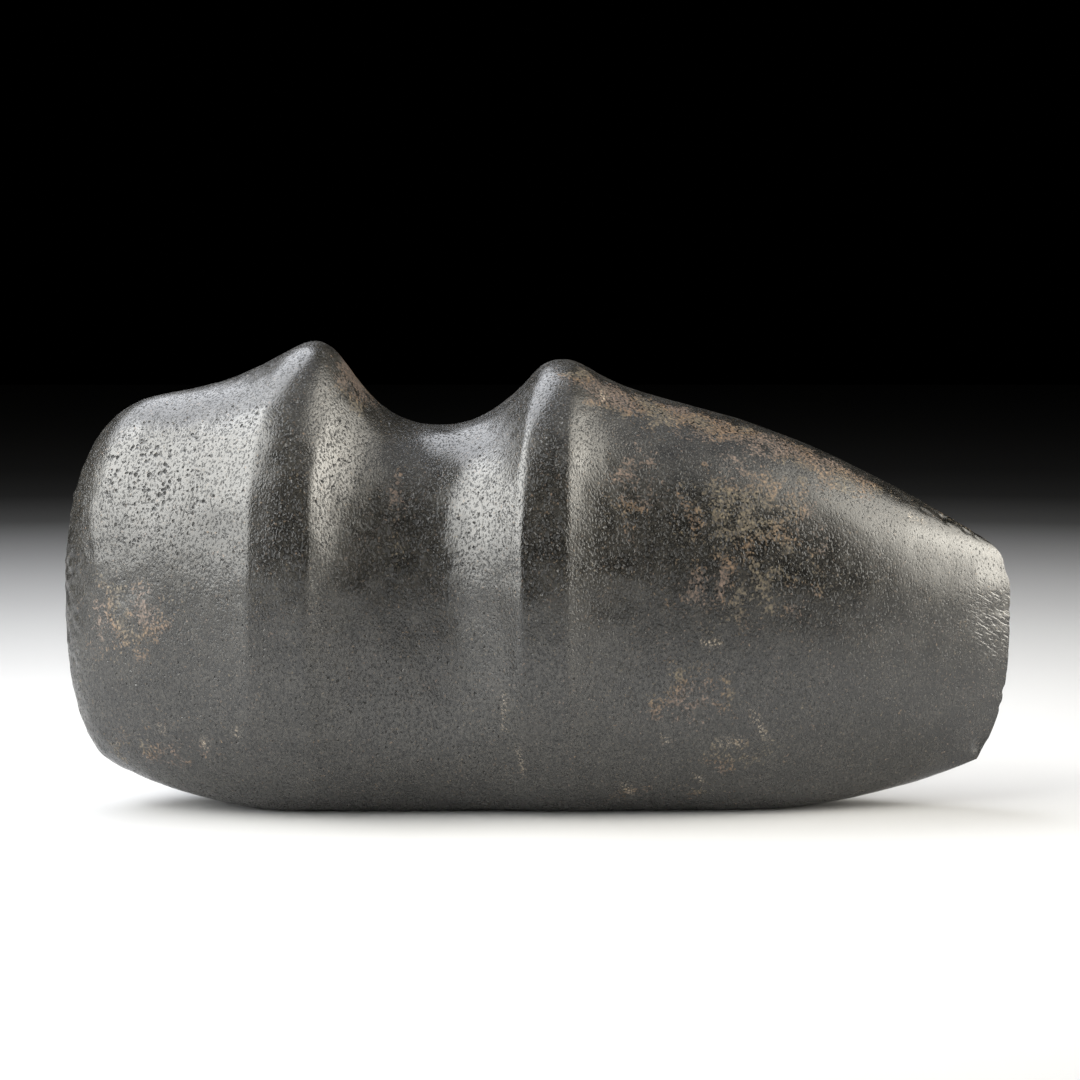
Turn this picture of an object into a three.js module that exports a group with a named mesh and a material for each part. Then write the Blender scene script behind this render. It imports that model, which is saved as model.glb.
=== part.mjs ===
import * as THREE from 'three';

// A three-quarter-grooved axe head of polished stone, in millimetres. +X points to the cutting edge, +Z is up
// and the flanks face -Y and +Y. It stands on the flat of its underside, with the middle of its length at X = 0.
// It is drawn as a ship is: lines along its length give the top, the underside and the breadth, and a
// rounded section at each station joins them.

// The blank, which is the smooth stone before the groove was pecked into it.
const length = 180; // from the butt to the middle of the cutting edge
const buttHeight = 74.8; // the top line where it meets the butt
const middleHeight = 80.8; // the top line over the middle, where the blade begins
const bitHeight = 51.8; // the top corner of the cutting edge
const bladeDrop = 1.82; // power of the top line's curve down to the bit
const bodyThickness = 53; // from flank to flank, before the ridges
const bladeStart = -10; // X where the flanks begin to taper
const bladeWedge = 0.2; // share of the taper that is a straight wedge
const bladeTaper = 4.2; // power of the curve that takes the rest down to the cutting edge
const edgeThickness = 1; // the dulled cutting edge
const edgeBow = 6; // how far the cutting edge curves out past its two corners
const edgeRoundness = 3.3; // power of that curve, higher for squarer corners
const bowStart = 60; // X from which the blade's stations curve with the edge
const widestHeightAtButt = 45; // height at which the head is thickest
const widestHeightAtBit = 40;

// The underside. The flat is ground a little below the line of the keel.
const flatGround = 0.8;
const keelRiseAtButt = 13.3;
const keelRiseAtBit = 9.6;
const keelAft = -45; // X where the underside starts to rise to the butt
const keelFore = 34; // X where it starts to rise to the bit
const keelAftPower = 1.8;
const keelForePower = 2.2;

// The rounded butt: how far the top, the underside and the flanks take to reach their full size, and how squarely.
const buttTopReach = 16;
const buttTopPower = 2.3;
const buttLowReach = 24;
const buttLowPower = 9.6;
const buttFlankReach = 50;
const buttFlankPower = 2;

// The haft groove between its two ridges where they cross the top. Places are X, and heights are over the blank.
const topGrooveFrom = -39.1;
const topGrooveTo = 1.3;
const topGrooveFloor = -16.1;
const topGrooveDepth = 6.9;
const topButtRidgeWidth = 5.5;
const topButtRidgeHeight = 10.9;
const topButtRidgeRunout = 17.6;
const topBitRidgeWidth = 6.3;
const topBitRidgeHeight = 4.7;
const topBitRidgeRunout = 4.6;
const topGrooveCurveAft = 2.6;
const topGrooveCurveFore = 2;
const topSoftness = 5;

// The same groove and ridges on the flanks, where the ridges are flat bands with crisper edges.
const flankGrooveFrom = -42.2;
const flankGrooveTo = -3.3;
const flankGrooveFloor = -20;
const flankGrooveDepth = 3.9;
const flankButtRidgeWidth = 10.8;
const flankButtRidgeHeight = 4;
const flankButtRidgeRunout = 7.8;
const flankBitRidgeWidth = 8.5;
const flankBitRidgeHeight = 4.9;
const flankBitRidgeRunout = 8;
const flankGrooveCurve = 2.1;
const flankSoftness = 1.2;
const carvingFadeHeight = -0.65; // where it fades low on the flank, as a share of the drop to the underside
const carvingFadeSpan = 0.15;

// The ridges lean towards the bit as they rise to the top.
const ridgeLean = 7.1;
const leanMost = -46; // X where they lean most
const leanAft = 44; // how far the lean reaches to the butt
const leanFore = 74; // and to the bit
const leanCurve = 3.2;

// Powers of the section's curve, which is a superellipse: 2 is an ellipse, and more is squarer.
const upperSection = 2.1;
const lowerSection = 2.5;
const bitSection = 2;
const bitSectionStart = 28; // X where the section begins to change to that of the bit
const bitSectionPower = 2;

// Fineness of the mesh.
const around = 48; // points round a section, a multiple of four
const buttStations = 12;
const carvedStations = 56;
const bladeStations = 24;
const buttStationsEnd = -66;
const carvedStationsEnd = 14;
const softeningSteps = 5;

const buttX = -length / 2;
const bitX = length / 2 - edgeBow; // the two corners of the cutting edge

const { abs, cos, exp, max, sin, sqrt, PI } = Math;
const mix = THREE.MathUtils.lerp;
const share = (x, from, to) => THREE.MathUtils.clamp((x - from) / (to - from), 0, 1);

// Heights of the carving over the blank: each ridge has a flat crest and runs out on its outer side, and
// the groove between them is a smooth hollow.
function groove({ from, to, floor, depth, buttRidge, bitRidge, curveAft, curveFore }) {
  return (x) => {
    if (x < from) {
      const past = max(from - buttRidge.width - x, 0);
      return buttRidge.height * exp(-past / buttRidge.runout);
    }
    if (x > to) {
      const past = max(x - to - bitRidge.width, 0);
      return bitRidge.height * exp(-past / bitRidge.runout);
    }
    if (x < floor) return -depth + (buttRidge.height + depth) * share(x, floor, from) ** curveAft;
    return -depth + (bitRidge.height + depth) * share(x, floor, to) ** curveFore;
  };
}

// The average of a profile over a short reach to each side, which rounds its corners as pecking does.
function softened(profile, x, reach) {
  let sum = 0;
  let weights = 0;
  for (let step = -softeningSteps; step <= softeningSteps; step++) {
    const offset = step / (softeningSteps + 1);
    const weight = cos((offset * PI) / 2) ** 2;
    sum += weight * profile(x + offset * reach);
    weights += weight;
  }
  return sum / weights;
}

const topCarving = groove({
  from: topGrooveFrom,
  to: topGrooveTo,
  floor: topGrooveFloor,
  depth: topGrooveDepth,
  buttRidge: { width: topButtRidgeWidth, height: topButtRidgeHeight, runout: topButtRidgeRunout },
  bitRidge: { width: topBitRidgeWidth, height: topBitRidgeHeight, runout: topBitRidgeRunout },
  curveAft: topGrooveCurveAft,
  curveFore: topGrooveCurveFore,
});

const flankCarving = groove({
  from: flankGrooveFrom,
  to: flankGrooveTo,
  floor: flankGrooveFloor,
  depth: flankGrooveDepth,
  buttRidge: { width: flankButtRidgeWidth, height: flankButtRidgeHeight, runout: flankButtRidgeRunout },
  bitRidge: { width: flankBitRidgeWidth, height: flankBitRidgeHeight, runout: flankBitRidgeRunout },
  curveAft: flankGrooveCurve,
  curveFore: flankGrooveCurve,
});

function topLine(x) {
  const rise = mix(buttHeight, middleHeight, share(x, buttX, 0));
  const drop = (middleHeight - bitHeight) * share(x, 0, bitX) ** bladeDrop;
  return rise - drop + softened(topCarving, x, topSoftness);
}

function keelLine(x) {
  const aft = keelRiseAtButt * share(x, keelAft, buttX) ** keelAftPower;
  const fore = keelRiseAtBit * share(x, keelFore, bitX) ** keelForePower;
  return aft + fore - flatGround;
}

// Half the thickness at X. The height runs from -1 at the underside to 1 at the top.
function breadthLine(x, height) {
  const towardBit = share(x, bladeStart, bitX);
  const taper = mix(towardBit ** bladeTaper, towardBit, bladeWedge);
  const blank = mix(bodyThickness, edgeThickness, taper) / 2;
  const fade = 1 / (1 + exp((carvingFadeHeight - height) / carvingFadeSpan));
  return blank + fade * softened(flankCarving, x, flankSoftness);
}

function lean(x) {
  const aft = share(x, leanMost, leanMost - leanAft);
  const fore = share(x, leanMost, leanMost + leanFore);
  return ridgeLean * cos((PI / 2) * max(aft, fore)) ** 2;
}

// The share of its full size that the butt has reached at X, from nothing at its end.
function butt(x, reach, power) {
  return sqrt(1 - (1 - share(x, buttX, buttX + reach)) ** power);
}

// The point of the surface at a station and an angle, which runs from the -Y flank over the top.
function surfacePoint(station, angle) {
  const upper = sin(angle) >= 0;
  const nearBit = share(station, bitSectionStart, bitX) ** bitSectionPower;
  const power = mix(upper ? upperSection : lowerSection, bitSection, nearBit);
  const reach = (abs(cos(angle)) ** power + abs(sin(angle)) ** power) ** (-1 / power);
  const side = reach * cos(angle);
  const height = reach * sin(angle);

  const widest = mix(widestHeightAtButt, widestHeightAtBit, share(station, buttX, bitX));
  const above = (topLine(station + lean(station)) - widest) * butt(station, buttTopReach, buttTopPower);
  const below = (widest - keelLine(station)) * butt(station, buttLowReach, buttLowPower);
  const leaning = lean(station) * max(height, 0) ** leanCurve;
  const bow = edgeBow * share(station, bowStart, bitX) ** 2 * (1 - abs(height) ** edgeRoundness);

  const y = -side * breadthLine(station, height) * butt(station, buttFlankReach, buttFlankPower);
  const z = max(widest + height * (upper ? above : below), 0);
  return [station + leaning + bow, y, z];
}

// Stations along the head, closest together at the end of the butt and over the carving.
function stationList() {
  const list = [];
  for (let i = 1; i < buttStations; i++) {
    list.push(mix(buttX, buttStationsEnd, 1 - cos(((i / buttStations) * PI) / 2)));
  }
  for (let i = 0; i < carvedStations; i++) {
    list.push(mix(buttStationsEnd, carvedStationsEnd, i / carvedStations));
  }
  for (let i = 0; i <= bladeStations; i++) {
    list.push(mix(carvedStationsEnd, bitX, sin(((i / bladeStations) * PI) / 2)));
  }
  return list;
}

// Rings of points joined by pairs of triangles, with a fan over the butt and a strip along the cutting edge.
function axeHeadGeometry() {
  const stations = stationList();
  const points = [[buttX, 0, widestHeightAtButt]];
  for (const station of stations) {
    for (let j = 0; j < around; j++) points.push(surfacePoint(station, (j / around) * 2 * PI));
  }
  const at = (ring, j) => 1 + ring * around + ((j + around) % around);
  const triangles = [];
  for (let j = 0; j < around; j++) triangles.push(0, at(0, j), at(0, j + 1));
  for (let ring = 0; ring < stations.length - 1; ring++) {
    for (let j = 0; j < around; j++) {
      triangles.push(at(ring, j), at(ring + 1, j), at(ring + 1, j + 1));
      triangles.push(at(ring, j), at(ring + 1, j + 1), at(ring, j + 1));
    }
  }
  const last = stations.length - 1;
  const top = around / 4;
  for (let k = 0; k < around / 2; k++) {
    const [a, b] = [at(last, top + k), at(last, top + k + 1)];
    const [c, d] = [at(last, top - k), at(last, top - k - 1)];
    if (k > 0) triangles.push(a, c, d);
    if (k < around / 2 - 1) triangles.push(a, d, b);
  }
  const geometry = new THREE.BufferGeometry();
  geometry.setAttribute('position', new THREE.Float32BufferAttribute(points.flat(), 3));
  geometry.setIndex(triangles);
  geometry.computeVertexNormals();
  return geometry;
}

const stone = new THREE.MeshStandardMaterial({ color: 0x4f4d48, roughness: 0.4, metalness: 0 });
const axeHead = new THREE.Mesh(axeHeadGeometry(), stone);
axeHead.name = 'axe_head';

const group = new THREE.Group();
group.add(axeHead);
export default group;
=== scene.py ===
import bpy
import numpy as np
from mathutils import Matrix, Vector


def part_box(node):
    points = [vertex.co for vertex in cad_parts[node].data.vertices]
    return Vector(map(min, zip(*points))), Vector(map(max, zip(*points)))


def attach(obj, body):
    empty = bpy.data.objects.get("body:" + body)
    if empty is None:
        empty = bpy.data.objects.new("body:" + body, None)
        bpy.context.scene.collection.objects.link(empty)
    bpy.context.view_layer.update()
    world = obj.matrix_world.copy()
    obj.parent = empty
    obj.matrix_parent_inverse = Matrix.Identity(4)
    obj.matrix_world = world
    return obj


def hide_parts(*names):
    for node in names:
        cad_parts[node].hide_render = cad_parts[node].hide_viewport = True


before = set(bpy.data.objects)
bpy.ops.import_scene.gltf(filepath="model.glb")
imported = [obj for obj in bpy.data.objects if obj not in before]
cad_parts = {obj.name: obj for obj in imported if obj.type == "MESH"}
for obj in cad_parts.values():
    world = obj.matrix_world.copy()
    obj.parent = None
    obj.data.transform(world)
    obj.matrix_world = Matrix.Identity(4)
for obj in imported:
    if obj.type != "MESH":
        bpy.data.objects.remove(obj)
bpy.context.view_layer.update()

# The camera looks at the front flank from a little above, through a long lens, as a museum photograph is
# taken. The frame is square, so the lens and distance alone set how much of it the axe head fills.
MM = 0.001
aim = Vector((0.3, 0.0, 50.9)) * MM
camera_distance = 572 * MM
camera_elevation = np.radians(4.5)
camera = bpy.data.objects.new("camera", bpy.data.cameras.new("camera"))
bpy.context.scene.collection.objects.link(camera)
camera.data.lens = 100
camera.data.sensor_width = 36
towards_camera = Vector((0.0, -np.cos(camera_elevation), np.sin(camera_elevation)))
camera.location = aim + towards_camera * camera_distance
camera.rotation_euler = (-towards_camera).to_track_quat("-Z", "Y").to_euler()
bpy.context.scene.camera = camera
bpy.context.scene.view_settings.view_transform = "Standard"


def linear(colour):
    """The linear red, green, blue and alpha of an sRGB hex colour such as 4a4742: a straight line near black
    and a power of 2.4 above it. Alpha is one."""
    srgb = np.array([int(colour[i:i + 2], 16) for i in (0, 2, 4)]) / 255
    rgb = np.where(srgb <= 0.04045, srgb / 12.92, ((srgb + 0.055) / 1.055) ** 2.4)
    return (*rgb.tolist(), 1.0)


# Soft light: softboxes at the left and, warmer, at the right reach down to the table, so that what faces
# left or right shines and what faces the camera stays dark. Smaller ones in front brighten their middles.
# A cool one high behind lights the crests, and a faint one overhead fills the top.
def softbox(name, azimuth, elevation, size, radiance, colour, distance=0.9):
    """A rectangular lamp at a distance in metres from the axe head, facing it. Azimuth is measured from the
    camera's side, positive to the right. Power is radiance times pi times area."""
    a, e = np.radians(azimuth), np.radians(elevation)
    outward = Vector((np.sin(a) * np.cos(e), -np.cos(a) * np.cos(e), np.sin(e)))
    light = bpy.data.lights.new(name, "AREA")
    light.shape = "RECTANGLE"
    light.size, light.size_y = size
    light.energy = radiance * np.pi * size[0] * size[1]
    light.color = linear(colour)[:3]
    lamp = bpy.data.objects.new(name, light)
    lamp.location = aim + outward * distance
    lamp.rotation_euler = (-outward).to_track_quat("-Z", "Y").to_euler()
    lamp.visible_camera = False
    bpy.context.scene.collection.objects.link(lamp)


neutral, warm, cool = "fffffb", "fffaee", "f6f9ff"
softbox("softbox_left", -66, 28, (1.02, 1.0), 5.1, neutral)
softbox("softbox_left_middle", -75, 32, (0.62, 0.56), 3.0, neutral, distance=0.89)
softbox("softbox_right", 84, 24, (0.90, 1.16), 1.9, warm)
softbox("softbox_right_middle", 86, 20, (0.66, 0.92), 2.6, warm, distance=0.89)
softbox("softbox_right_core", 88, 14, (0.42, 0.62), 5.8, warm, distance=0.88)
softbox("softbox_high", -132, 56, (0.9, 0.7), 4.2, cool)
softbox("softbox_top", 60, 72, (0.9, 0.8), 0.45, cool)

world = bpy.data.worlds.new("dark_studio")
bpy.context.scene.world = world
world.use_nodes = True
world.node_tree.nodes["Background"].inputs["Color"].default_value = linear("000000")


# The table: a matt white board, six metres square, on which the light falls away to black beyond the axe
# head. A ramp of the board's own colour gives that, from pale in the middle to black at 1.2 metres.
def node(tree, kind, inputs, output=0, **settings):
    """Adds a shader node, sets its properties, sets each input to a value or links it to a socket, and
    returns one of its outputs."""
    made = tree.nodes.new("ShaderNode" + kind)
    for name, value in settings.items():
        setattr(made, name, value)
    for name, value in inputs.items():
        if isinstance(value, bpy.types.NodeSocket):
            tree.links.new(value, made.inputs[name])
        else:
            made.inputs[name].default_value = value
    return made.outputs[output]


table_half = 3.0
table_mesh = bpy.data.meshes.new("table")
corners = [(x * table_half, y * table_half, 0) for x, y in ((-1, -1), (1, -1), (1, 1), (-1, 1))]
table_mesh.from_pydata(corners, [], [(0, 1, 2, 3)])
table = bpy.data.objects.new("table", table_mesh)
bpy.context.scene.collection.objects.link(table)

white_board = bpy.data.materials.new("matt_white_board")
white_board.use_nodes = True
tree = white_board.node_tree
shader = tree.nodes["Principled BSDF"]
place = node(tree, "TexCoord", {}, "Object")
brightest = (-0.01, 0.0, 0.0)
black_from = 1.2
distance = node(tree, "VectorMath", {0: place, 1: brightest}, "Value", operation="DISTANCE")
far = node(tree, "MapRange", {"Value": distance, "From Max": black_from})
ramp_colour = node(tree, "ValToRGB", {"Fac": far})
ramp = ramp_colour.node.color_ramp
ramp.elements[0].color = linear("d6d6d7")
ramp.elements[1].color = linear("010101")
falling_light = ((0.12, "c8c8c9"), (0.22, "b0b0b1"), (0.35, "929293"), (0.5, "6d6d6e"), (0.65, "353535"),
                 (0.8, "121212"))
for far_share, colour in falling_light:
    ramp.elements.new(far_share).color = linear(colour)
tree.links.new(ramp_colour, shader.inputs["Base Color"])
shader.inputs["Roughness"].default_value = 0.8
shader.inputs["Specular IOR Level"].default_value = 0.2
table.data.materials.append(white_board)


# The axe head: one fine-grained dark greenstone, pecked to shape with a hammerstone, ground on sandstone
# and rubbed smooth. A haft groove between two raised ridges crosses the top and both flanks. Its ends come
# from the frame, the lines of its form are those of the solid, and sizes are in millimetres. Its cutting
# edge bows out past both corners.
low, high = (np.array(corner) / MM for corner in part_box("axe_head"))
edge_bow, edge_roundness, bow_start = 6.0, 3.3, 60
butt_x, bit_x = low[0], high[0] - edge_bow


def share(x, start, end):
    """How far x has come from start to end, from nought to one."""
    return np.clip((x - start) / (end - start), 0, 1)


softening_steps = 5


def carved(x, c):
    """Height over the blank: a flat crest on each side that runs out by an exponential on its outer side,
    and a hollow between the crests that rises from its floor by a power, averaged over a cosine window."""
    butt_width, butt_crest, butt_runout = c["butt_ridge"]
    bit_width, bit_crest, bit_runout = c["bit_ridge"]
    total, weights = 0, 0
    for step in range(-softening_steps, softening_steps + 1):
        offset = step / (softening_steps + 1)
        weight = np.cos(offset * np.pi / 2) ** 2
        q = x + offset * c["softness"]
        behind = butt_crest * np.exp(-np.maximum(c["start"] - butt_width - q, 0) / butt_runout)
        ahead = bit_crest * np.exp(-np.maximum(q - c["end"] - bit_width, 0) / bit_runout)
        aft = (butt_crest + c["depth"]) * share(q, c["floor"], c["start"]) ** c["aft"] - c["depth"]
        fore = (bit_crest + c["depth"]) * share(q, c["floor"], c["end"]) ** c["fore"] - c["depth"]
        hollow = np.where(q < c["floor"], aft, fore)
        outside = np.where(q < c["start"], behind, ahead)
        total = total + weight * np.where((q < c["start"]) | (q > c["end"]), outside, hollow)
        weights += weight
    return total / weights


# Each carving has its places along the head, the hollow's depth, the powers of its two sides, the reach of
# the window, and the width, height and runout of its two ridges.
top_carving = dict(start=-39.1, end=1.3, floor=-16.1, depth=6.9, aft=2.6, fore=2.0, softness=5.0,
                   butt_ridge=(5.5, 10.9, 17.6), bit_ridge=(6.3, 4.7, 4.6))
flank_carving = dict(start=-42.2, end=-3.3, floor=-20.0, depth=3.9, aft=2.1, fore=2.1, softness=1.2,
                     butt_ridge=(10.8, 4.0, 7.8), bit_ridge=(8.5, 4.9, 8.0))
height_at_butt, height_at_middle, height_at_bit, drop_power = 74.8, 80.8, 51.8, 1.82


def top_line(x):
    """Height of the top: a straight rise to the middle, a curved drop to the bit, and the carving on it."""
    rise = (height_at_middle - height_at_butt) * share(x, butt_x, 0)
    drop = (height_at_middle - height_at_bit) * share(x, 0, bit_x) ** drop_power
    return height_at_butt + rise - drop + carved(x, top_carving)


# The underside rises to each end from a place, by a power, and its flat is ground a little below that.
flat_ground = 0.8
keel_rise_at_butt, keel_aft, keel_aft_power = 13.3, -45, 1.8
keel_rise_at_bit, keel_fore, keel_fore_power = 9.6, 34, 2.2


def keel_line(x):
    """Height of the underside: flat in the middle and rising by a power to each end."""
    aft = keel_rise_at_butt * share(x, keel_aft, butt_x) ** keel_aft_power
    fore = keel_rise_at_bit * share(x, keel_fore, bit_x) ** keel_fore_power
    return aft + fore - flat_ground


# The flanks taper from a place on, a share of it as a straight wedge and the rest by a power. The carving
# fades at a height that is a share of the drop to the underside.
body_thickness, edge_thickness = 53.0, 1.0
blade_start, blade_wedge, blade_taper = -10, 0.2, 4.2
carving_fade_height, carving_fade_span = -0.65, 0.15


def breadth_line(x, height):
    """Half the thickness: the blank, which tapers by a straight wedge and a steeper curve, and the carving,
    which fades low on the flank by a logistic curve."""
    toward_bit = share(x, blade_start, bit_x)
    taper = blade_wedge * toward_bit + (1 - blade_wedge) * toward_bit ** blade_taper
    blank = (body_thickness + (edge_thickness - body_thickness) * taper) / 2
    fade = 1 / (1 + np.exp((carving_fade_height - height) / carving_fade_span))
    return blank + fade * carved(x, flank_carving)


# The ridges lean from one place to another, most at a third, and by a power of the height.
ridge_lean, lean_from, lean_most, lean_to, lean_curve = 7.1, -90, -46, 28, 3.2


def lean(x):
    """How far the ridges lean to the bit at the top: a cosine bump, longer towards the bit."""
    away = np.maximum(share(x, lean_most, lean_from), share(x, lean_most, lean_to))
    return ridge_lean * np.cos(np.pi / 2 * away) ** 2


def butt(x, reach, power):
    """The share of full size reached at x behind the rounded butt: the root of one less a power of what is
    left of the reach."""
    return np.sqrt(1 - (1 - share(x, butt_x, butt_x + reach)) ** power)


# Heights at which the head is widest, powers of the section, and the reach and power of the rounded butt.
widest_at_butt, widest_at_bit = 45, 40
upper_power, lower_power, bit_power, bit_section_start = 2.1, 2.5, 2, 28
butt_top, butt_low, butt_flank = (16, 2.3), (24, 9.6), (50, 2)


def ground_form(x, angle):
    """Points of the ground surface at stations x and angles round the section, from the front flank over
    the top. Each section is a superellipse between the top line, the keel line and the breadth line."""
    upper = np.sin(angle) >= 0
    near_bit = share(x, bit_section_start, bit_x) ** 2
    power = np.where(upper, upper_power, lower_power) * (1 - near_bit) + bit_power * near_bit
    reach = (np.abs(np.cos(angle)) ** power + np.abs(np.sin(angle)) ** power) ** (-1 / power)
    side, height = reach * np.cos(angle), reach * np.sin(angle)
    widest = widest_at_butt + (widest_at_bit - widest_at_butt) * share(x, butt_x, bit_x)
    above = (top_line(x + lean(x)) - widest) * butt(x, *butt_top)
    below = (widest - keel_line(x)) * butt(x, *butt_low)
    bow = edge_bow * share(x, bow_start, bit_x) ** 2 * (1 - np.abs(height) ** edge_roundness)
    leaning = lean(x) * np.maximum(height, 0) ** lean_curve
    y = -side * breadth_line(x, height) * butt(x, *butt_flank)
    z = widest + height * np.where(upper, above, below)
    return np.stack([x + leaning + bow, y, z], -1)


# Rings of points lie closest together at the butt's end, over the carving and at the cutting edge.
butt_rings_end, carving_rings_end = -66.0, 14.0
rings_on_butt, rings_on_carving, rings_on_blade, points_round = 60, 200, 136, 244
butt_turn = np.linspace(0, np.pi / 2, rings_on_butt + 1)[1:-1]
butt_rings = butt_x + (butt_rings_end - butt_x) * (1 - np.cos(butt_turn))
carving_rings = np.linspace(butt_rings_end, carving_rings_end, rings_on_carving, endpoint=False)
blade_turn = np.linspace(0, np.pi / 2, rings_on_blade)
blade_rings = carving_rings_end + (bit_x - carving_rings_end) * np.sin(blade_turn)
stations = np.concatenate([butt_rings, carving_rings, blade_rings])
angles = np.linspace(0, 2 * np.pi, points_round, endpoint=False)
form = ground_form(*np.meshgrid(stations, angles, indexing="ij"))
along = np.gradient(form, axis=0)
around = np.roll(form, -1, axis=1) - np.roll(form, 1, axis=1)
outward = np.cross(along, around)
outward /= np.linalg.norm(outward, axis=-1)[..., None] + 1e-12


# What the hand and use left on it: the surface is gently uneven, most on the butt, which is battered from
# hammering. The bit is ground smoothest. Its edge is nicked, its top corner flaked, and the crest behind it
# chipped.
def waves(points, wavelength, seed, count=40):
    """A smooth random field: the sum of many plane waves of about one wavelength, in random directions."""
    draw = np.random.default_rng(seed)
    directions = draw.normal(size=(count, 3))
    directions /= np.linalg.norm(directions, axis=1)[:, None]
    numbers = 2 * np.pi / wavelength * draw.uniform(0.7, 1.3, count)
    phases = draw.uniform(0, 2 * np.pi, count)
    total = np.zeros(points.shape[:-1])
    for direction, number, phase in zip(directions, numbers, phases):
        total += np.sin(points @ direction * number + phase)
    return total / np.sqrt(count / 2)


def oval(x_middle, z_middle, x_reach, z_reach):
    """A soft-edged oval on the flanks: a bell curve of the distance from its middle."""
    return np.exp(-((form[..., 0] - x_middle) / x_reach) ** 2 - ((form[..., 2] - z_middle) / z_reach) ** 2)


# How much each point belongs to the blade, the last of the bit, the chipped crest and the battered butt.
x, z = form[..., 0], form[..., 2]
blade = share(x, 8, 60)
near_edge = share(x, 74, 86)
below_top = form[:, points_round // 4, 2][:, None] - z
chipped = share(x, 62, 72) * (1 - share(below_top, 0.4, 2.6)) * (z > 30)
battered = np.maximum(share(x, -80, -89), 0.8 * oval(-80, 14, 10, 10))

# Unevenness: its height on the butt and on the blade, its wavelength and its seed. The finest waves roughen
# what is battered or chipped.
fine = waves(form, 2.4, 14)
unevenness = [(0.10, 0.05, 24, 11), (0.035, 0.015, 8, 12), (0.016, 0.006, 3.4, 13)]
relief = np.zeros_like(x)
for on_butt, on_blade, wavelength, seed in unevenness:
    relief += (on_butt + (on_blade - on_butt) * blade) * waves(form, wavelength, seed)
ground_smooth, batter_height, chip_depth = 0.85, 0.05, 0.16
relief *= 1 - ground_smooth * near_edge
relief += batter_height * battered * (waves(form, 4.5, 15) + fine)
relief -= chip_depth * chipped * np.maximum(fine, -0.3)

# Bowls struck or broken out of the surface: X, Y and Z of the middle, the reach and the depth.
bowls = [(67.6, -14, 55.0, 1.0, 0.45), (-34.6, -28, 64.0, 0.9, 0.35), (-41.0, -29, 62.5, 0.8, 0.3),
         (-52.2, -27, 66.4, 0.9, 0.3), (-57.0, -26, 60.0, 0.8, 0.25), (87.4, 0, 45.0, 1.2, 0.2),
         (83.0, 0, 50.5, 1.6, 0.5), (84.6, -1, 11.5, 2.2, 0.6), (-88.0, -6, 28.0, 3.0, 0.4),
         (-86.0, 8, 55.0, 3.5, 0.4), (-84.0, -14, 20.0, 2.6, 0.35), (40.0, 25, 60.0, 1.6, 0.4),
         (66.0, 12, 50.0, 1.2, 0.4), (-62.0, 24, 40.0, 1.4, 0.35), (12.0, 0, 85.0, 1.6, 0.35)]
for *middle, bowl_reach, depth in bowls:
    squared = ((form - middle) ** 2).sum(-1) / bowl_reach ** 2
    relief -= depth * np.clip(1 - squared, 0, 1) ** 1.5
worked = form + outward * relief[..., None]

# The cutting edge is nicked along its length, and a flake is gone from its top corner.
nick_depth, flake_depth, flake_height, flake_reach = 0.22, 0.6, 45.4, 1.9
nicks = np.clip(waves(form * (0, 0, 1), 2.6, 21) - 0.5, 0, 1.5)
flake = np.exp(-((z - flake_height) / flake_reach) ** 2)
worked[..., 0] -= nick_depth * share(x, 83, 89) * nicks + flake_depth * share(x, 83, 88) * flake
worked[..., 2] = np.maximum(worked[..., 2], 0)

# The mesh: quads between rings, a fan to one point over the butt, and a strip of quads with a triangle at
# each corner along the cutting edge.
rings, round_count = worked.shape[:2]
i, j = np.meshgrid(np.arange(rings - 1), np.arange(round_count), indexing="ij")
ahead = (j + 1) % round_count
quads = np.stack([i * round_count + j, i * round_count + ahead, (i + 1) * round_count + ahead,
                  (i + 1) * round_count + j], -1).reshape(-1, 4)[:, ::-1]
vertices = np.concatenate([worked.reshape(-1, 3), [[butt_x, 0, widest_at_butt]]])
pole = len(vertices) - 1
turn = np.arange(round_count)
fan = np.stack([np.full(round_count, pole), turn, (turn + 1) % round_count], -1)
last = (rings - 1) * round_count
quarter = round_count // 4
k = np.arange(1, round_count // 2 - 1)
left, right = last + quarter + k, last + (quarter - k) % round_count
left_next, right_next = last + quarter + k + 1, last + (quarter - k - 1) % round_count
strip = np.stack([left, right, right_next, left_next], -1)
ends = [(last + quarter, last + quarter - 1, last + quarter + 1),
        (last + 3 * quarter, last + 3 * quarter - 1, last + 3 * quarter + 1)]
axe_mesh = bpy.data.meshes.new("axe_head")
axe_mesh.from_pydata(vertices * MM, [], quads.tolist() + fan.tolist() + strip.tolist() + ends)
axe_mesh.validate()
axe_mesh.shade_smooth()
axe_mesh.set_sharp_from_angle(angle=np.radians(55))
axe = bpy.data.objects.new("ground_axe_head", axe_mesh)
bpy.context.scene.collection.objects.link(axe)

# Shares of the surface that the material reads: brown earth held in the rougher stone, most along the top
# of the blade and of the groove; hammer pits left open; grinding scratches on the bit and beside the ridges;
# and pale marks where something hard has bruised the stone.
x, y, z = worked[..., 0], worked[..., 1], worked[..., 2]

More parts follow.
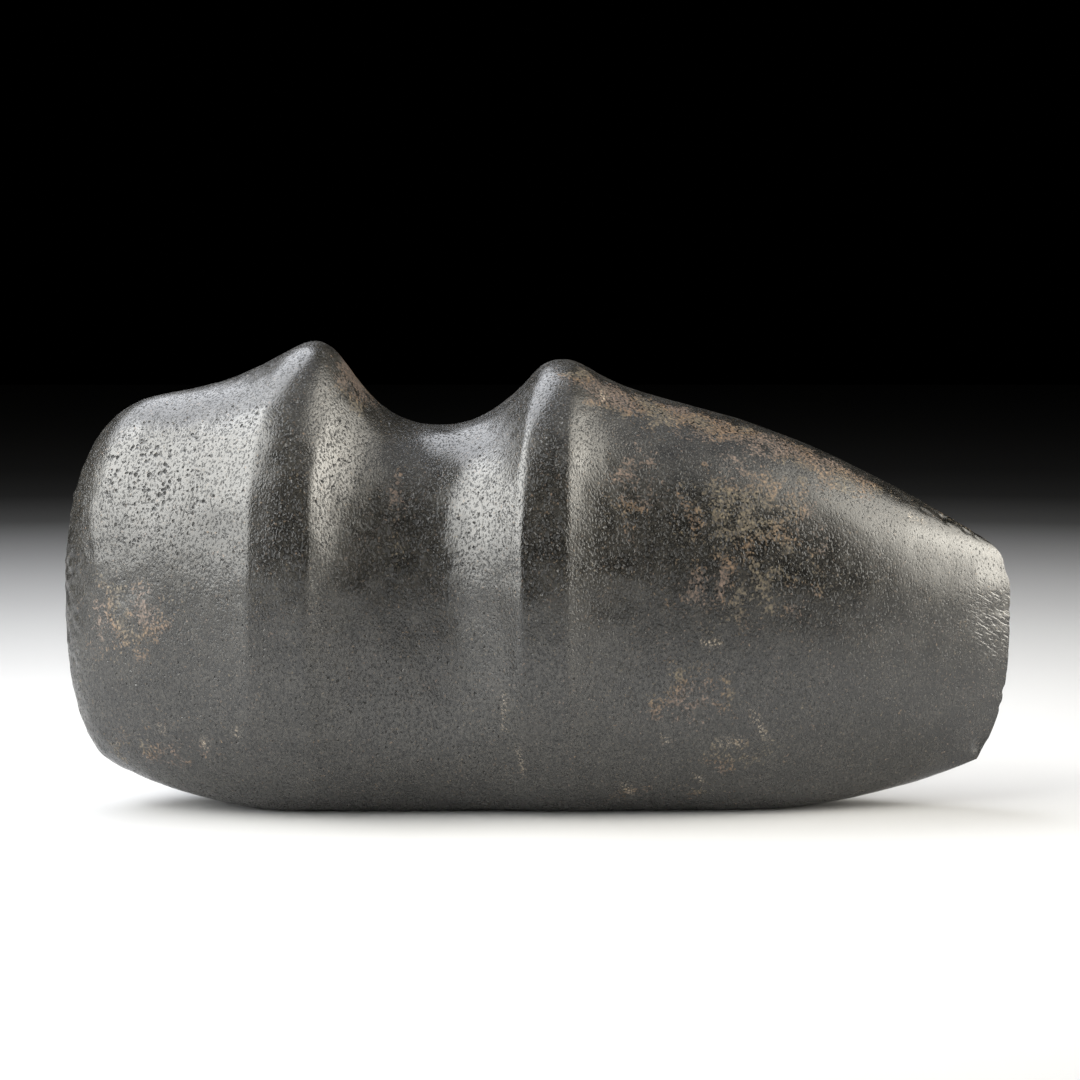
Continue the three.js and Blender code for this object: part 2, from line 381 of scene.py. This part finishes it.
# Earth lies in a band just below the crest, gone 10 mm down, and in spots: X and Z of the middle, reach
# along both, and share.
top_band = (0.35 + 0.65 * share(below_top, 0.2, 1.8)) * (1 - share(below_top, 2.5, 10)) * (z > 40)
earth_share = 0.72 * share(x, -2, 8) * (1 - share(x, 60, 78)) * top_band
earth_spots = [(-33, 84, 7, 11, 0.8), (40, 58, 22, 13, 0.6), (17, 62, 9, 13, 0.5), (38, 44, 20, 13, 0.52),
               (28, 24, 17, 11, 0.54), (38, 12, 12, 6, 0.5), (24, 5, 26, 4, 0.42), (-75, 38, 13, 14, 0.57),
               (-72, 13, 18, 7, 0.5), (-26, 58, 5, 16, 0.45), (-62, 44, 10, 5, 0.4)]
for *spot, most in earth_spots:
    earth_share = np.maximum(earth_share, most * oval(*spot))
earth_share = np.maximum(earth_share, 0.4 * chipped)
pitting_share = 0.62 - 0.42 * share(x, 4, 34) - 0.18 * share(x, 50, 74)
pitting_share = np.maximum(pitting_share, 1.1 * oval(-71, 62, 18, 18))
beside_ridges = np.maximum(0.15 * oval(-43, 70, 6, 10), 0.5 * oval(-4.5, 58, 2, 6))
scratched_share = np.maximum(oval(89, 36, 7, 8), beside_ridges)

# Marks on the front flank: X and Z of both ends, reach to each side and share. A short one is a spot.
marks = [(-6.3, 25.0, -6.3, 18.0, 0.5, 0.5), (-3.8, 14.4, -2.5, 9.0, 0.5, 0.5),
         (30.2, 34.2, 31.2, 34.0, 0.5, 1.0), (31.9, 34.0, 33.2, 34.1, 0.5, 1.0),
         (15.9, 6.2, 17.0, 5.1, 0.6, 1.0), (22.6, 16.2, 23.9, 15.6, 0.5, 0.8),
         (69.7, 56.0, 72.4, 55.1, 0.5, 0.9), (11.9, 79.3, 12.3, 78.3, 0.7, 0.9),
         (-61.8, 14.9, -61.5, 14.3, 0.7, 1.0), (-55.7, 17.6, -55.4, 16.9, 0.6, 0.7),
         (-69.9, 17.4, -69.6, 16.9, 0.6, 0.6), (33.0, 14.6, 37.5, 15.0, 0.7, 0.7),
         (39.5, 20.5, 42.0, 16.0, 0.7, 0.6), (29.5, 8.0, 30.2, 7.4, 0.5, 0.8)]
pale_share = np.zeros_like(x)
for x_start, z_start, x_end, z_end, mark_reach, strength in marks:
    run = np.array((x_end - x_start, z_end - z_start))
    past = np.clip(((x - x_start) * run[0] + (z - z_start) * run[1]) / (run @ run), 0, 1)
    apart = np.hypot(x - x_start - past * run[0], z - z_start - past * run[1])
    pale_share = np.maximum(pale_share, strength * np.exp(-(apart / mark_reach) ** 2) * (y < 0))
shares = dict(earth=earth_share, pitting=pitting_share, scratched=scratched_share, pale=pale_share)
for name, values in shares.items():
    on_points = axe_mesh.attributes.new(name, "FLOAT", "POINT")
    on_points.data.foreach_set("value", np.append(values.ravel(), 0.0))


# Dark greenstone, ground and polished by handling: tiny crystals give it a salt-and-pepper grain in short
# upright strokes, hammer pits stay open in it with painted shade inside, and earth has stained the rougher
# parts brown.
greenstone = bpy.data.materials.new("polished_greenstone")
greenstone.use_nodes = True
tree = greenstone.node_tree
shader = tree.nodes["Principled BSDF"]
place = node(tree, "TexCoord", {}, "Object")
in_mm = node(tree, "VectorMath", {0: place, 1: (1000, 1000, 1000)}, operation="MULTIPLY")
strokes = node(tree, "VectorMath", {0: in_mm, 1: (1, 1, 0.65)}, operation="MULTIPLY")
earth = node(tree, "Attribute", {}, "Fac", attribute_name="earth")
pitting = node(tree, "Attribute", {}, "Fac", attribute_name="pitting")
scratched = node(tree, "Attribute", {}, "Fac", attribute_name="scratched")
pale = node(tree, "Attribute", {}, "Fac", attribute_name="pale")

# Crystals of hornblende and feldspar. Real ones are 0.2 mm across and are drawn at twice that, so that they
# show. Between them lie open pores, more where the stone was only pecked than where it was ground, and the
# closed, ground stone is a little darker.
crystal, mottle_size = 0.42, 4
grain = node(tree, "TexNoise", {"Vector": strokes, "Scale": 1 / crystal, "Detail": 1.5, "Roughness": 0.6},
             "Fac")
mottle = node(tree, "TexNoise", {"Vector": in_mm, "Scale": 1 / mottle_size, "Detail": 3.0}, "Fac")
grain_tone = node(tree, "MapRange", {"Value": grain, "From Min": 0.40, "From Max": 0.68})
mottle_tone = node(tree, "MapRange", {"Value": mottle, "From Min": 0.35, "From Max": 0.65, "To Min": -0.15,
                                      "To Max": 0.15})
polish_tone = node(tree, "MapRange", {"Value": pitting, "From Min": 0.1, "From Max": 0.62, "To Min": -0.12,
                                      "To Max": 0.0})
uneven_tone = node(tree, "Math", {0: mottle_tone, 1: polish_tone}, operation="ADD")
tone = node(tree, "Math", {0: grain_tone, 1: uneven_tone}, operation="ADD", use_clamp=True)
stone = node(tree, "Mix", {0: tone, 6: linear("0e0e0d"), 7: linear("3d3b37")}, 2, data_type="RGBA")
closed = node(tree, "MapRange", {"Value": pitting, "From Max": 0.3, "To Min": 0.09, "To Max": 0.015})
closed_grain = node(tree, "Math", {0: grain, 1: closed}, operation="ADD")
pore = node(tree, "MapRange", {"Value": closed_grain, "From Min": 0.37, "From Max": 0.47, "To Min": 1.0,
                               "To Max": 0.0})

# Earth lies as loose flecks between the crystals: their number follows its share and a blotchy noise, and
# their colour wanders between olive, tan and pinkish brown.
fleck_size, blotch_size, hue_size = 0.5, 3.4, 8
flecks = node(tree, "TexNoise", {"Vector": in_mm, "Scale": 1 / fleck_size, "Detail": 1.0}, "Fac")
blotches = node(tree, "TexNoise", {"Vector": in_mm, "Scale": 1 / blotch_size, "Detail": 3.0,
                                   "Roughness": 0.6}, "Fac")
earth_noise = node(tree, "Math", {0: earth, 1: blotches}, operation="ADD")
patch = node(tree, "MapRange", {"Value": earth_noise, "From Min": 0.87, "From Max": 1.10, "To Max": 0.29})
fleck_noise = node(tree, "Math", {0: flecks, 1: patch}, operation="ADD")
stained = node(tree, "MapRange", {"Value": fleck_noise, "From Min": 0.64, "From Max": 0.82})
hue = node(tree, "TexNoise", {"Vector": in_mm, "Scale": 1 / hue_size, "Detail": 0.0}, "Fac")
earth_colour = node(tree, "ValToRGB", {"Fac": hue})
hues = earth_colour.node.color_ramp
hues.elements[0].position, hues.elements[0].color = 0.35, linear("766b57")
hues.elements[1].position, hues.elements[1].color = 0.62, linear("7d6a5d")
hues.elements.new(0.5).color = linear("82694f")
fleck_colour = node(tree, "Mix", {0: grain_tone, 6: linear("2b241c"), 7: earth_colour}, 2, data_type="RGBA")
earthy = node(tree, "Mix", {0: stained, 6: stone, 7: fleck_colour}, 2, data_type="RGBA")

# Pits: each cell of about a millimetre may hold one, with its own size. Their outlines are bent by a noise.
pit_spacing, bend_size = 0.95, 0.6
bend = node(tree, "TexNoise", {"Vector": in_mm, "Scale": 1 / bend_size, "Detail": 0.0}, "Color")
bent = node(tree, "VectorMath", {0: bend, 1: (bend_size, bend_size, bend_size), 2: in_mm},
            operation="MULTIPLY_ADD")
cells = node(tree, "TexVoronoi", {"Vector": bent, "Scale": 1 / pit_spacing}, "Distance")
cell_chance = node(tree, "SeparateColor", {"Color": cells.node.outputs["Color"]}, "Red")
pit_share = node(tree, "Math", {0: cell_chance, 1: pitting}, operation="MULTIPLY")
pit_reach = node(tree, "MapRange", {"Value": pit_share, "From Min": 0.1, "From Max": 1.0, "To Min": 0.01,
                                    "To Max": 0.62})
pit = node(tree, "MapRange", {"Value": cells, "From Min": 0.0, "From Max": pit_reach, "To Min": 1.0,
                              "To Max": 0.0}, interpolation_type="SMOOTHSTEP")
# Painted shade: the pits are coloured near black, as the shade that falls inside their hollows.
colour_with_painted_pit_shade = node(tree, "Mix", {0: pit, 6: earthy, 7: linear("121211")}, 2, data_type="RGBA")

# Bruises: crushed stone is white, and shows as specks of half a millimetre on the pale marks.
speck_size = 0.5
speck_cells = node(tree, "TexVoronoi", {"Vector": bent, "Scale": 1 / speck_size}, "Distance")
speck = node(tree, "MapRange", {"Value": speck_cells, "From Min": 0.2, "From Max": 0.5, "To Min": 1.0,
                                "To Max": 0.0})
bruise = node(tree, "Math", {0: pale, 1: speck}, operation="MULTIPLY")
bruised = node(tree, "Mix", {0: bruise, 6: colour_with_painted_pit_shade, 7: linear("b9ab98")}, 2, data_type="RGBA")
tree.links.new(bruised, shader.inputs["Base Color"])

# The crystals are polished, the pores between them aren't, and neither earth nor pits have any polish.
pore_roughness, earth_roughness, pit_roughness = 0.3, 0.25, 0.5
gloss = node(tree, "MapRange", {"Value": mottle, "From Min": 0.3, "From Max": 0.7, "To Min": 0.20,
                                "To Max": 0.28})
porous = node(tree, "Math", {0: pore, 1: pore_roughness, 2: gloss}, operation="MULTIPLY_ADD")
dulled = node(tree, "Math", {0: stained, 1: earth_roughness, 2: porous}, operation="MULTIPLY_ADD")
rough = node(tree, "Math", {0: pit, 1: pit_roughness, 2: dulled}, operation="MULTIPLY_ADD", use_clamp=True)
tree.links.new(rough, shader.inputs["Roughness"])
shader.inputs["IOR"].default_value = 1.72

# Relief in millimetres: the grain, which is higher where the stone has more pitting, the pores, the pits,
# and scratches 3 mm long that run down towards the edge.
grain_rise, pore_depth, pit_depth, scratch_depth = 0.03, 0.03, 0.25, 0.06
scratch_slope = np.radians(28)
scratch_way = node(tree, "Mapping", {"Vector": in_mm, "Rotation": (0, scratch_slope, 0),
                                     "Scale": (3.0, 1.0, 0.5)}, vector_type="TEXTURE")
scratches = node(tree, "TexNoise", {"Vector": scratch_way, "Scale": 1.0, "Detail": 1.0}, "Fac")
scratch_line = node(tree, "MapRange", {"Value": scratches, "From Min": 0.53, "From Max": 0.72})
scratch = node(tree, "Math", {0: scratch_line, 1: scratched}, operation="MULTIPLY")
grain_height = node(tree, "Math", {0: pitting, 1: grain_rise, 2: grain_rise}, operation="MULTIPLY_ADD")
height = node(tree, "Math", {0: grain, 1: grain_height}, operation="MULTIPLY")
for hollow, hollow_depth in ((pore, pore_depth), (pit, pit_depth), (scratch, scratch_depth)):
    height = node(tree, "Math", {0: hollow, 1: -hollow_depth, 2: height}, operation="MULTIPLY_ADD")
bump = node(tree, "Bump", {"Height": height, "Distance": MM, "Strength": 1.0})
tree.links.new(bump, shader.inputs["Normal"])
axe.data.materials.append(greenstone)

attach(axe, "root")
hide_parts("axe_head")
